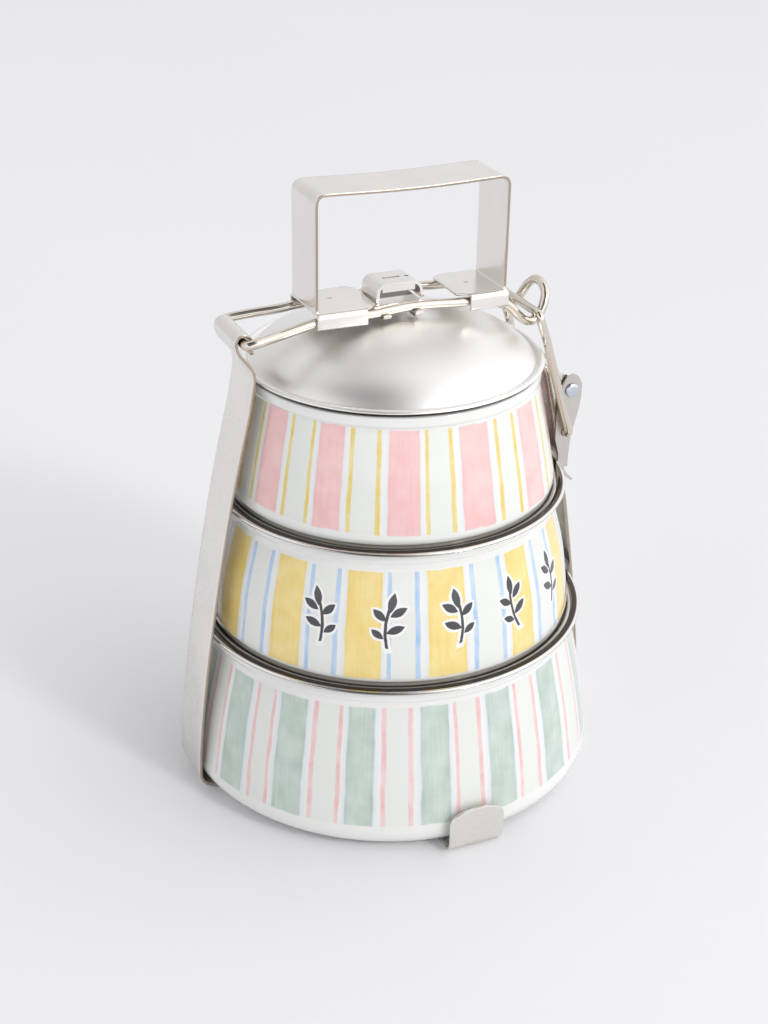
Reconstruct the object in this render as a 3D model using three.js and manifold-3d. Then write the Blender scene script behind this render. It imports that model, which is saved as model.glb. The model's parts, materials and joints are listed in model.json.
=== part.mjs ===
// Three-tier tiffin carrier: enamelled bowls with pressed steel lids, held in a bent steel strap
// carrier with a hinged wire top frame, a strap handle and an over-centre wire latch.
// Millimetres, +Z up. Origin: centre of the base, on the surface that the carrier stands on.
// +X points from the hinge barrel to the latch, -Y is the front.
import * as THREE from "three";
import { mergeVertices } from "three/addons/utils/BufferGeometryUtils.js";
import Module from "manifold-3d";

const wasm = await Module();
wasm.setup();

// ---------------------------------------------------------------- driving dimensions
const GAP = 0.3; // air between touching pieces
const ROUND_STEPS = 36; // facets around every turned piece
const SHEET = 1.3; // carrier strap, handle and clip sheet
const STRAP_HALF = 12.5; // half of the 25 mm strap width

// Bowls: floor underside, rim top, widest radius, collar radius, floor corner radius.
// belly: how far the wall bows out of a straight line at half height.
// kick: inside this radius the floor is pushed up, to clear the straps that cross underneath.
const WALL = 1.1;
const KICK_RISE = 1.9;
const BOWLS = {
  bottom_bowl: { floor: 1.6, rim: 70.9, widest: 89.5, collar: 80.1, corner: 9, belly: 0.7, kick: 62 },
  middle_bowl: { floor: 73, rim: 127.1, widest: 77.5, collar: 69.5, corner: 3.2, belly: 1.3, kick: 0 },
  top_bowl: { floor: 129.2, rim: 180.4, widest: 68.7, collar: 61, corner: 3.6, belly: 0.2, kick: 0 },
};
const COLLAR_HEIGHT = 4.8;
const GROOVE_DEPTH = 0.9;
const RIM_WIDTH = 2.4;

// Lids: outer bead, seat for the bowl above and a short plug inside the bowl below.
const BEAD_HEIGHT = 1.5;
const DOME_BEAD_HEIGHT = 2.3;
const BEAD_WIDTH = 2.4;
const SEAT_DROP = 0.7; // the ring between seat and bead lies this much lower than both
const PLUG_DEPTH = 4;
const PLUG_WALL = 0.9;
const PLUG_PLAY = 0.5;
const LIDS = {
  lower_lid: { bead: 83.1, bottom: 71.2, seat: 75.2, under: "bottom_bowl" },
  middle_lid: { bead: 73.6, bottom: 127.4, seat: 66, under: "middle_bowl" },
};
const DOME = { bead: 61.9, bottom: 180.9, apex: 202.2, edge: 58.6, sheet: 0.9, under: "top_bowl" };

// Carrier strap: inner face of each side, from the base up (distance from the middle, height).
const SIDE = [
  [90.4, 16],
  [87.8, 42],
  [83.6, 73.3],
  [74.1, 129.2],
  [62.3, 182],
];
const BASE_CORNER = 11; // bend radius at the foot of each side
const RIGHT_STRAP_TOP = 173;
const BARREL = { x: -67.4, z: 200.2, outer: 3.8 };
const BARREL_THROAT = [-61.5, 188];

// Cross strap under the bottom bowl, with a round-ended tab bent up at each end.
const TAB = { half: 12.2, y: 92.6, height: 19.5, bend: 4.2, roundFrom: 12.5 };
const CROSS_SHEET = 1.2;

// Top frame wire: one loop, its ends butt inside the hinge barrel.
const WIRE = 1.9;
const WIRE_SIDES = 8;
const RAIL_Y = 11.5; // rails under the handle feet
const HINGE_RAIL_Y = 15.7; // rails beside the barrel
const LOOP_Y = 8.4; // finger loop legs

// Handle: one strap bent to a rectangle, feet turned inwards and lapped round the rails.
const HANDLE = { left: -38.2, right: 44.4, top: 255.4, sag: 1.4, foot: 208.8, corner: 5 };
const LEFT_FOOT_END = -12;
const RIGHT_FOOT_END = 22.5;
const LAP = { outer: 15.1, sheet: 1.2, bottom: 202.2 };

// Centre clip: a bridge over a press plate that lies between the rails.
const BRIDGE = { left: -9.9, right: 9.2, top: 214.9, half: 7.5 };
const SLOT = { length: 7.6, width: 1.6, x: -1, holeX: 5.6, holeRadius: 0.9 };
const PRESS = { left: -11.9, right: 8.2, half: 9.1, top: 207.4, sheet: 1.2 };
const HOOK_SHEET = 0.8;

// Latch: the lever straddles the strap and turns on a rivet; the bail hooks over the frame.
const RIVET = { x: 77.4, z: 159.9, shaft: 1.75, head: 3.1, headHeight: 0.9 };
const EAR = { outer: 11.9, sheet: 1, round: 5 };
const CHEEK = { inner: 12.8, sheet: 1.1 };
const BAIL_WIRE = 1.8;
const BAIL_Y = 17.2;
const BAIL_PIVOT = { x: 75.6, z: 141 };
const PIN_PLAY = 0.3;

// ---------------------------------------------------------------- finishes
const steel = (name, color, roughness) =>
  new THREE.MeshStandardMaterial({ name, color, roughness, metalness: 1 });
const SATIN = steel("satin_steel", 0xc9c6c1, 0.32);
const WIRE_STEEL = steel("bright_wire", 0xd5d0c6, 0.18);
const LID_STEEL = steel("polished_lid", 0xd2d2d0, 0.16);
const ZINC = steel("zinc_rivet", 0xb9c3cc, 0.4);
const ENAMEL = new THREE.MeshStandardMaterial({ name: "enamel", color: 0xf3f2ed, roughness: 0.12 });

// ---------------------------------------------------------------- helpers
const v2 = (x, y) => new THREE.Vector2(x, y);
const v3 = (x, y, z) => new THREE.Vector3(x, y, z);

// A closed three.js geometry as a solid for joining and cutting.
function solid(geometry) {
  const bare = geometry.index ? geometry.toNonIndexed() : geometry.clone();
  bare.deleteAttribute("normal");
  bare.deleteAttribute("uv");
  const merged = mergeVertices(bare, 1e-4);
  return new wasm.Manifold(
    new wasm.Mesh({
      numProp: 3,
      vertProperties: merged.attributes.position.array,
      triVerts: new Uint32Array(merged.index.array),
    }),
  );
}

// A solid back as a geometry with flat normals.
function geometryOf(shape) {
  const mesh = shape.getMesh();
  const geometry = new THREE.BufferGeometry();
  geometry.setAttribute("position", new THREE.BufferAttribute(mesh.vertProperties, 3));
  geometry.setIndex(new THREE.BufferAttribute(mesh.triVerts, 1));
  const flat = geometry.toNonIndexed();
  flat.computeVertexNormals();
  return flat;
}

// A profile of [radius, height] pairs turned about Z.
function turned(profile) {
  const points = profile.map(([r, z]) => v2(Math.max(r, 0), z));
  return new THREE.LatheGeometry(points, ROUND_STEPS).rotateX(Math.PI / 2);
}

// An outline in the XZ plane extruded along Y from -half to +half.
function slabXZ(shape, half) {
  const geometry = new THREE.ExtrudeGeometry(shape, {
    depth: 2 * half,
    bevelEnabled: false,
    curveSegments: 6,
  });
  return geometry.rotateX(Math.PI / 2).translate(0, half, 0);
}

// A box between two corners.
function block([x0, y0, z0], [x1, y1, z1]) {
  const box = new THREE.BoxGeometry(x1 - x0, y1 - y0, z1 - z0);
  return box.translate((x0 + x1) / 2, (y0 + y1) / 2, (z0 + z1) / 2);
}

// A round pin along Y between two values of y.
function pinY(x, z, radius, y0, y1, sides = 16) {
  const pin = new THREE.CylinderGeometry(radius, radius, y1 - y0, sides);
  return pin.translate(x, (y0 + y1) / 2, z);
}

// The corners of a polyline rounded off: each inner point becomes a bend that starts and ends
// at the given distance from it.
function rounded(points, distance, steps = 4) {
  const out = [v2(...points[0])];
  for (let i = 1; i < points.length - 1; i++) {
    const corner = v2(...points[i]);
    const before = v2(...points[i - 1]);
    const after = v2(...points[i + 1]);
    const reach = Array.isArray(distance) ? distance[i - 1] : distance;
    const from = corner.clone().lerp(before, Math.min(0.49, reach / corner.distanceTo(before)));
    const to = corner.clone().lerp(after, Math.min(0.49, reach / corner.distanceTo(after)));
    out.push(...new THREE.QuadraticBezierCurve(from, corner, to).getPoints(steps));
  }
  out.push(v2(...points.at(-1)));
  return out;
}

// The outline of a sheet of the given thickness whose left-hand face follows a line of points.
function sheetOutline(line, thickness) {
  const offset = line.map((point, i) => {
    const before = line[Math.max(i - 1, 0)];
    const after = line[Math.min(i + 1, line.length - 1)];
    const into = point.clone().sub(i ? before : point.clone().sub(after.clone().sub(point)));
    const outOf = (i < line.length - 1 ? after : point.clone().add(into)).clone().sub(point);
    const a = v2(into.y, -into.x).normalize();
    const b = v2(outOf.y, -outOf.x).normalize();
    const middle = a.clone().add(b).normalize();
    return point.clone().addScaledVector(middle, thickness / middle.dot(a));
  });
  return new THREE.Shape([...line, ...offset.reverse()]);
}

// A round wire along a smooth curve through points.
function wire(points, radius, steps, tension = 0.5) {
  const curve = new THREE.CatmullRomCurve3(points, false, "centripetal", tension);
  const section = new THREE.Shape();
  for (let i = 0; i < WIRE_SIDES; i++) {
    const turn = (2 * Math.PI * i) / WIRE_SIDES;
    const at = [radius * Math.cos(turn), radius * Math.sin(turn)];
    if (i === 0) section.moveTo(...at);
    else section.lineTo(...at);
  }
  section.closePath();
  return new THREE.ExtrudeGeometry(section, { steps, bevelEnabled: false, extrudePath: curve });
}

const carrier = new THREE.Group();
carrier.name = "tiffin_carrier";

function add(name, geometry, material) {
  const mesh = new THREE.Mesh(geometry, material);
  mesh.name = name;
  carrier.add(mesh);
}

// ---------------------------------------------------------------- bowls and lids
// Points on a quarter bend from the floor (angle 0) up to the wall (angle 90 degrees).
function cornerArc(centreR, centreZ, radius, steps) {
  const arc = [];
  for (let i = 0; i <= steps; i++) {
    const turn = (Math.PI / 2) * (i / steps);
    arc.push([centreR + radius * Math.sin(turn), centreZ - radius * Math.cos(turn)]);
  }
  return arc;
}

// A bowl: flat floor, round corner, nearly straight wall leaning in, shallow groove, rolled collar.
function bowl({ floor, rim, widest, collar, corner, belly, kick }) {
  const neck = rim - COLLAR_HEIGHT;
  const outer = cornerArc(widest - corner, floor + corner, corner, 3);
  const inner = cornerArc(widest - corner, floor + corner, corner - WALL, 3);
  const middleZ = (floor + corner + neck) / 2;
  const middle = (widest + collar - GROOVE_DEPTH) / 2 + belly;
  const rise = kick ? KICK_RISE : 0;
  const step = kick ? [[kick - 2, floor + rise], [kick, floor]] : [];
  const above = step.map(([r, z]) => [r, z + WALL]);
  return turned([
    [0, floor + rise],
    ...step,
    ...outer,
    [middle, middleZ],
    [collar - GROOVE_DEPTH, neck - 1],
    [collar, neck],
    [collar, rim - 0.8],
    [collar - 0.8, rim],
    [collar - RIM_WIDTH, rim],
    [collar - RIM_WIDTH, neck],
    [middle - WALL - 0.3, middleZ],
    ...inner.reverse(),
    ...above.reverse(),
    [0, floor + rise + WALL],
  ]);
}

// The rolled bead at the edge of every lid, from its inner top edge round to its underside.
function bead(radius, bottom, height) {
  const top = bottom + height;
  return [
    [radius - BEAD_WIDTH + 0.5, top - 0.1],
    [radius - 1, top],
    [radius - 0.2, top - 0.25 * height],
    [radius, bottom + height / 2],
    [radius - 0.3, bottom + 0.2 * height],
    [radius - 1, bottom],
  ];
}

// The plug that drops into the bowl below, from the rim inwards.
function plug(under, clear) {
  const { collar, rim } = BOWLS[under];
  const outside = collar - RIM_WIDTH - PLUG_PLAY;
  return [
    [outside, rim + GAP],
    [outside, rim - PLUG_DEPTH],
    [outside - PLUG_WALL, rim - PLUG_DEPTH],
    [outside - PLUG_WALL, clear],
  ];
}

// A flat lid: raised seat, lower ring, bead, and plug underneath.
function flatLid({ bead: radius, bottom, seat, under }) {
  const top = bottom + BEAD_HEIGHT;
  const ring = top - SEAT_DROP;
  return turned([
    [0, top],
    [seat, top],
    [seat + 1.6, ring],
    [radius - BEAD_WIDTH - 0.6, ring],
    ...bead(radius, bottom, BEAD_HEIGHT),
    ...plug(under, ring - 0.8),
    [0, ring - 0.8],
  ].reverse());
}

// The domed lid of the top bowl: height falls off with the square of the radius.
function domeLid({ bead: radius, bottom, apex, edge, sheet, under }) {
  const shoulder = bottom + DOME_BEAD_HEIGHT - 0.5;
  const rise = apex - shoulder;
  const steps = 7;
  const crown = [];
  const inside = [];
  for (let i = 0; i <= steps; i++) {
    const r = (edge * i) / steps;
    crown.push([r, apex - rise * (r / edge) ** 2]);
    inside.push([Math.max(0, r - 2), apex - sheet - rise * (r / edge) ** 2]);
  }
  inside[0] = [0, apex - sheet];
  inside.pop();
  return turned([
    ...crown,
    ...bead(radius, bottom, DOME_BEAD_HEIGHT),
    ...plug(under, shoulder - 1.6),
    ...inside.reverse(),
  ].reverse());
}

for (const [name, size] of Object.entries(BOWLS)) add(name, bowl(size), ENAMEL);
for (const [name, size] of Object.entries(LIDS)) add(name, flatLid(size), LID_STEEL);
add("dome_lid", domeLid(DOME), LID_STEEL);

// ---------------------------------------------------------------- carrier strap
// The inner face of a strap side, smoothed, from the base up to a height.
function sideLine(top) {
  const curve = new THREE.SplineCurve(SIDE.map(([x, z]) => v2(x, z)));
  return curve.getPoints(12).filter((point) => point.y < top);
}

// One strip: hinge barrel, down the left side, flat under the base, up the right side.
// The line follows its inner face, with the bowls on the left hand all the way.
function carrierStrap() {
  const { x, z, outer } = BARREL;
  const inner = outer - SHEET;
  const [sideX, sideZ] = SIDE[0];
  const foot = rounded(
    [[-sideX, sideZ], [-sideX, SHEET], [sideX, SHEET], [sideX, sideZ]],
    BASE_CORNER,
    5,
  );
  // The barrel curls from the tail up the inner side, over the top and down the outer side.
  const curl = [v2(x + inner, z - 5)];
  const curlSteps = 10;
  const curlEnd = 205;
  for (let i = 0; i <= curlSteps; i++) {
    const turn = THREE.MathUtils.degToRad((curlEnd * i) / curlSteps);
    curl.push(v2(x + inner * Math.cos(turn), z + inner * Math.sin(turn)));
  }
  const left = sideLine(183).map((point) => v2(-point.x, point.y)).reverse();
  const right = sideLine(RIGHT_STRAP_TOP);
  const line = [...curl, v2(x + 0.6, z - 5.2), v2(...BARREL_THROAT), ...left];
  line.push(...foot.slice(1, -1), ...right, v2(64.3, RIGHT_STRAP_TOP));
  return slabXZ(sheetOutline(line, SHEET), STRAP_HALF);
}
add("carrier_strap", carrierStrap(), SATIN);

// ---------------------------------------------------------------- cross strap
// Flat on the ground, steps over the carrier strap in the middle, ends in two rounded tabs.
function crossStrap() {
  const { half, y, height, bend, roundFrom } = TAB;
  const inner = y - CROSS_SHEET;
  const over = SHEET + GAP + CROSS_SHEET;
  const stepOut = STRAP_HALF + 5;
  const stepIn = STRAP_HALF + 1.2;
  const line = rounded(
    [
      [-inner, height], [-inner, CROSS_SHEET], [-stepOut, CROSS_SHEET], [-stepIn, over],
      [stepIn, over], [stepOut, CROSS_SHEET], [inner, CROSS_SHEET], [inner, height],
    ],
    [bend, 1, 1, 1, 1, bend],
  );
  const strip = slabXZ(sheetOutline(line, CROSS_SHEET), half).rotateZ(Math.PI / 2);
  const front = new THREE.Shape();
  front.moveTo(-half - 1, -1);
  front.lineTo(half + 1, -1);
  front.lineTo(half + 1, roundFrom);
  front.lineTo(half, roundFrom);
  front.bezierCurveTo(half - 0.6, height - 2, half - 5, height, 0, height);
  front.bezierCurveTo(5 - half, height, 0.6 - half, height - 2, -half, roundFrom);
  front.lineTo(-half - 1, roundFrom);
  return geometryOf(solid(strip).intersect(solid(slabXZ(front, y + 5))));
}
add("cross_strap", crossStrap(), SATIN);

// ---------------------------------------------------------------- top frame wire
// One half of the loop, from the butt joint in the barrel to the middle of the finger loop.
const FRAME_HALF = [
  [BARREL.x, 0.2, BARREL.z],
  [BARREL.x, 6.5, BARREL.z],
  [BARREL.x, 12.6, BARREL.z],
  [BARREL.x + 0.5, 15, BARREL.z + 0.1],
  [BARREL.x + 3, HINGE_RAIL_Y, BARREL.z + 0.7],
  [-54, 14.3, 202.3],
  [-44, 12.2, 203.4],
  [-36, RAIL_Y, 204.5],
  [-24, RAIL_Y, 204.9],
  [-12, RAIL_Y, 205.2],
  [-4, RAIL_Y, 205.9],
  [3, RAIL_Y, 206.2],
  [12, RAIL_Y, 205.9],
  [22, RAIL_Y, 205.1],
  [36, RAIL_Y, 204.3],
  [43, RAIL_Y, 202.9],
  [48, 11.2, 199.5],
  [51.6, 10.9, 195.6],
  [55, 10.6, 193],
  [58.6, 10.3, 192.5],
  [61.6, 9.8, 194.4],
  [63.9, 9, 198.2],
  [65.5, 7.2, 202],
  [66.2, 3.9, 204.6],
  [66.3, 0, 205.4],
];

function wireFrame() {
  const near = FRAME_HALF.map(([x, y, z]) => v3(x, -y, z));
  const far = FRAME_HALF.slice(0, -1).map(([x, y, z]) => v3(x, y, z)).reverse();
  return wire([...near, ...far], WIRE, 150);
}
add("wire_frame", wireFrame(), WIRE_STEEL);

// ---------------------------------------------------------------- handle
// A strap bent to a rectangle with a slight dip in its grip; each foot is a channel that caps
// both rails, with its inner corners cut off.
function handleFoot(outer, inner) {
  const { foot } = HANDLE;
  const cut = 5 * Math.sign(outer - inner);
  const plan = new THREE.Shape([
    v2(outer, -LAP.outer),
    v2(inner + cut, -LAP.outer),
    v2(inner, 4 - LAP.outer),
    v2(inner, LAP.outer - 4),
    v2(inner + cut, LAP.outer),
    v2(outer, LAP.outer),
  ]);
  const depth = foot - LAP.bottom;
  const channel = new THREE.ExtrudeGeometry(plan, { depth, bevelEnabled: false });
  const inside = LAP.outer - LAP.sheet;
  const room = block([-99, -inside, 0], [99, inside, foot - SHEET]);
  return solid(channel.translate(0, 0, LAP.bottom)).subtract(solid(room));
}

function handle() {
  const { left, right, top, sag, foot, corner } = HANDLE;
  const middle = (left + right) / 2;
  const line = rounded(
    [
      [LEFT_FOOT_END - 6, foot - SHEET], [left, foot - SHEET], [left, top],
      [middle, top - sag], [right, top], [right, foot - SHEET], [RIGHT_FOOT_END + 6, foot - SHEET],
    ],
    [1.6, corner, 20, corner, 1.6],
  );
  const strip = solid(slabXZ(sheetOutline(line.reverse(), -SHEET), STRAP_HALF));
  return geometryOf(
    strip
      .add(handleFoot(left, LEFT_FOOT_END))
      .add(handleFoot(right, RIGHT_FOOT_END)),
  );
}
add("handle", handle(), SATIN);

// ---------------------------------------------------------------- centre clip
// A bridge bent up from sheet: two legs, a narrow lip along the front and a slot in its top.
function clipBridge() {
  const { left, right, top, half } = BRIDGE;
  const foot = PRESS.top + GAP;
  const line = rounded(
    [
      [left + 0.5, foot], [left + SHEET, top - SHEET],
      [right - SHEET, top - SHEET], [right - 0.3, foot],
    ],
    2.2,
    3,
  );
  const arch = solid(slabXZ(sheetOutline(line, -SHEET), half));
  const lip = solid(block([left + 2, -half, top - 3.4], [right - 3, 1 - half, top - 0.6]));
  const taper = new THREE.Shape([v2(half + 1, foot - 1), v2(2.2, foot - 1), v2(half + 1, top - 3)]);
  const depth = 9;
  const side = new THREE.ExtrudeGeometry(taper, { depth, bevelEnabled: false });
  const wedge = solid(side.rotateX(Math.PI / 2).rotateZ(Math.PI / 2).translate(right - 4, 0, 0));
  const { length, width, x, holeX, holeRadius } = SLOT;
  const slot = solid(block([x - length / 2, -width / 2, 0], [x + length / 2, width / 2, top + 1]));
  const hole = new THREE.CylinderGeometry(holeRadius, holeRadius, 20, 12).rotateX(Math.PI / 2);
  return geometryOf(
    arch.add(lip).subtract(wedge).subtract(slot).subtract(solid(hole.translate(holeX, 0, top))),
  );
}
add("clip_bridge", clipBridge(), SATIN);

// A plate on the rails, with two hooks on each side that curl down round the wire.
function pressPlate() {
  const { left, right, half, top, sheet } = PRESS;
  const hookAt = [left + 3.2, right - 3.2];
  const hookHalf = 1.7;
  const bottom = top - 4;
  const hookLine = [[half, top - 0.5], [half, bottom], [13.4, bottom], [14.4, bottom + 1.4]];
  const line = rounded(hookLine, 0.8, 3);
  let plate = solid(block([left, -half, top - sheet], [right, half, top]));
  for (const x of hookAt) {
    const claw = slabXZ(sheetOutline(line, HOOK_SHEET), hookHalf).rotateZ(Math.PI / 2);
    plate = plate.add(solid(claw.clone().translate(x, 0, 0)));
    plate = plate.add(solid(claw.clone().rotateZ(Math.PI).translate(x, 0, 0)));
  }
  return geometryOf(plate);
}
add("press_plate", pressPlate(), SATIN);

// ---------------------------------------------------------------- latch
// The outer face of the right side of the strap, moved out by a distance.
function outsideOfStrap(from, to, distance) {
  const curve = new THREE.SplineCurve(SIDE.map(([x, z]) => v2(x, z)));
  const points = curve.getPoints(40).filter((point) => point.y > from && point.y < to);
  return points.map((point) => v2(point.x + SHEET + distance, point.y));
}

// Bracket: a plate on the strap with two ears that carry the rivet.
function latchBracket() {
  const { outer, sheet, round } = EAR;
  const back = outsideOfStrap(144, 172, GAP);
  const nose = [];
  for (let i = 0; i <= 8; i++) {
    const turn = Math.PI * (0.42 - 0.92 * (i / 8));
    nose.push(v2(RIVET.x + round * Math.cos(turn), RIVET.z + round * Math.sin(turn)));
  }
  const ends = [back.at(-1), back[0]].map((point, i) => v2(point.x + sheet, point.y + 1 - 2 * i));
  const ears = solid(slabXZ(new THREE.Shape([...back, ends[0], ...nose, ends[1]]), outer));
  const face = outsideOfStrap(100, 181, GAP + sheet);
  const room = new THREE.Shape([...face, v2(120, 181), v2(120, 100)]);
  const hole = solid(pinY(RIVET.x, RIVET.z, RIVET.shaft + PIN_PLAY, -20, 20));
  return geometryOf(ears.subtract(solid(slabXZ(room, outer - sheet))).subtract(hole));
}
add("latch_bracket", latchBracket(), SATIN);

// Rivet: one shaft through bracket and lever, with a flattened head at each end.
const CHEEK_OUTER = CHEEK.inner + CHEEK.sheet;
function leverRivet() {
  const { x, z, shaft, head, headHeight } = RIVET;
  const inside = CHEEK_OUTER + GAP;
  const outside = inside + headHeight;
  const lathe = [
    [0, -outside], [head - 0.6, -outside], [head, 0.5 - outside], [head, -inside],
    [shaft, -inside], [shaft, inside], [head, inside], [head, outside - 0.5],
    [head - 0.6, outside], [0, outside],
  ].map(([r, h]) => v2(r, h));
  return new THREE.LatheGeometry(lathe, 20).translate(x, 0, z);
}
add("lever_rivet", leverRivet(), ZINC);

// Lever: two cheeks beside the strap, joined by a web on the outside that ends in a finger lip.
const CHEEK_SIDE = [
  [72.9, 124.5], [72.9, 131], [71, 138], [70.9, 146], [71.9, 155], [73.1, 162.5],
  [75.2, 166.2], [78, 167], [80.6, 165.6], [82.3, 162], [82.3, 156.5], [81.4, 150.6],
  [79.6, 143.5], [78.2, 136.6], [77.8, 129], [77.8, 124.5],
];
const LEVER_LIP = [[77.8, 128], [77.85, 124.3], [79.3, 120.4], [81.7, 117.2], [83.6, 115.6]];

function latchLever() {
  const sheet = CHEEK.sheet;
  const side = new THREE.Shape(CHEEK_SIDE.map(([x, z]) => v2(x, z)));
  const cheeks = solid(slabXZ(side, CHEEK_OUTER));
  const webTop = 149;
  const outerEdge = CHEEK_SIDE.slice(10).map(([x, z]) => v2(x - sheet, z));
  const room = new THREE.Shape([
    v2(60, 120), v2(60, 175), v2(90, 175), v2(90, webTop),
    ...outerEdge.slice(2), v2(outerEdge.at(-1).x, 120),
  ]);
  const lipLine = LEVER_LIP.map(([x, z]) => v2(x, z));
  const lipHalf = 9.5;
  const lip = solid(slabXZ(sheetOutline(lipLine, sheet), lipHalf));
  const rivetHole = solid(pinY(RIVET.x, RIVET.z, RIVET.shaft + PIN_PLAY, -20, 20));
  const pivotHole = solid(pinY(BAIL_PIVOT.x, BAIL_PIVOT.z, BAIL_WIRE + PIN_PLAY, -20, 20));
  return geometryOf(
    cheeks
      .subtract(solid(slabXZ(room, CHEEK.inner)))
      .subtract(rivetHole)
      .subtract(pivotHole)
      .add(lip),
  );
}
add("latch_lever", latchLever(), SATIN);

// Bail: crossbar over the frame, two bent legs, ends turned inwards through the lever.
const BAIL_HALF = [
  [58, 0, 197.2],
  [58, 8, 197.2],
  [58, 14.6, 197.2],
  [58.2, 16.6, 196.4],
  [58.9, BAIL_Y, 193.8],
  [61.2, BAIL_Y, 189.7],
  [63.7, BAIL_Y, 186],
  [64.5, BAIL_Y, 182.8],
  [65.4, BAIL_Y, 178],
  [70, BAIL_Y, 163.7],
  [73.4, BAIL_Y, 154.4],
  [75.3, BAIL_Y, 147],
  [BAIL_PIVOT.x, 16.9, BAIL_PIVOT.z + 2],
  [BAIL_PIVOT.x, 15.6, BAIL_PIVOT.z + 0.1],
  [BAIL_PIVOT.x, 13, BAIL_PIVOT.z],
];
function bail() {
  const near = BAIL_HALF.map(([x, y, z]) => v3(x, -y, z)).reverse();
  const far = BAIL_HALF.slice(1).map(([x, y, z]) => v3(x, y, z));
  return wire([...near, ...far], BAIL_WIRE, 84);
}
add("bail", bail(), WIRE_STEEL);

export default carrier;
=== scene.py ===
"""Looks of the enamel tiffin carrier: finely turned bowls and lids, bent sheet and wire parts,
painted enamel and plated steel, on a plain pale floor in soft studio light.
Lengths and places of the pieces are millimetres here, and every mesh is made in metres.
X runs to the right, Y to the back and Z up."""

import json
import math

import bmesh
import bpy
import numpy as np
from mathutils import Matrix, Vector


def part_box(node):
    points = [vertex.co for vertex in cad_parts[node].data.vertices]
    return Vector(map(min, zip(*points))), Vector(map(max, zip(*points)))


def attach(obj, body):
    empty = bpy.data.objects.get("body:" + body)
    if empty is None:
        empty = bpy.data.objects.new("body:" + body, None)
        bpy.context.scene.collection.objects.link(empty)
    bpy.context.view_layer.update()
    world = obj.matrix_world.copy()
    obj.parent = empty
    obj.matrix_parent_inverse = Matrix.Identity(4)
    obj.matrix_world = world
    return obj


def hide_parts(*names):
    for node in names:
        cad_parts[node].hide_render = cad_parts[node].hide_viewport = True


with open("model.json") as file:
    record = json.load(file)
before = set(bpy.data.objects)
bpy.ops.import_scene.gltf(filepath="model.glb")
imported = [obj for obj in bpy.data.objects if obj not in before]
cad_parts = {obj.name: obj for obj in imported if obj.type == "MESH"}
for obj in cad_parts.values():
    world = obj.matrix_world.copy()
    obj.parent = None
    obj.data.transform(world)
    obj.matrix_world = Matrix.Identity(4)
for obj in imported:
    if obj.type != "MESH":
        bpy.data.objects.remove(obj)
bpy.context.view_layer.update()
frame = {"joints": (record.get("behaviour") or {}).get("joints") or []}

MM = 0.001
ROUND = 288  # steps round a turned piece
SHEET = 1.3  # thickness of the strap steel
TAB_SHEET = 1.2  # thickness of the cross strap and the handle's feet


def corners(node):
    """Lowest and highest corner of a CAD node's box, in millimetres."""
    return [np.round(np.array(corner) / MM, 3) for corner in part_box(node)]


def pivot(joint):
    """Where a hinge turns, as x and z in millimetres."""
    place = next(row["pos_m"] for row in frame["joints"] if row["name"] == joint)
    return round(place[0] / MM, 3), round(place[2] / MM, 3)


STRAP_TOP = corners("carrier_strap")[1]
STRAP_HALF = STRAP_TOP[1]
BARREL_X, BARREL_Z = pivot("frame_swing")
RIVET_X, RIVET_Z = pivot("lever_swing")
BAIL_X, BAIL_Z = pivot("bail_swing")
FLOORS = {node: corners(node)[0][2] for node in ("bottom_bowl", "middle_bowl", "top_bowl")}
RIMS = {node: corners(node)[1][2] for node in FLOORS}
WIDEST = {node: corners(node)[1][0] for node in FLOORS}
LID_RADII = {node: corners(node)[1][0] for node in ("lower_lid", "middle_lid", "dome_lid")}
LID_TOPS = {node: corners(node)[1][2] for node in LID_RADII}


# ------------------------------------------------------------------ node maths
class Value:
    """A socket in a material, or a number, with operators that add Math nodes."""

    def __init__(self, tree, socket):
        self.tree = tree
        self.socket = socket

    def math(self, operation, *others):
        node = self.tree.nodes.new("ShaderNodeMath")
        node.operation = operation
        for slot, item in zip(node.inputs, (self, *others)):
            if isinstance(item, Value):
                self.tree.links.new(item.socket, slot)
            else:
                slot.default_value = float(item)
        return Value(self.tree, node.outputs[0])

    def __add__(self, other):
        return self.math("ADD", other)

    __radd__ = __add__

    def __mul__(self, other):
        return self.math("MULTIPLY", other)

    __rmul__ = __mul__

    def __sub__(self, other):
        return self.math("SUBTRACT", other)

    def __rsub__(self, other):
        return (self * -1) + other

    def __truediv__(self, other):
        return self.math("DIVIDE", other)

    def __abs__(self):
        return self.math("ABSOLUTE")

    def least(self, other):
        return self.math("MINIMUM", other)

    def most(self, other):
        return self.math("MAXIMUM", other)

    def band(self, low, high):
        """0 below low, 1 above high, smooth between. With low > high it falls instead."""
        node = self.tree.nodes.new("ShaderNodeMapRange")
        node.interpolation_type = "SMOOTHSTEP"
        flip = low > high
        values = (high, low, 1.0, 0.0) if flip else (low, high, 0.0, 1.0)
        for slot, item in zip(node.inputs[1:5], values):
            slot.default_value = item
        self.tree.links.new(self.socket, node.inputs[0])
        return Value(self.tree, node.outputs[0])


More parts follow.
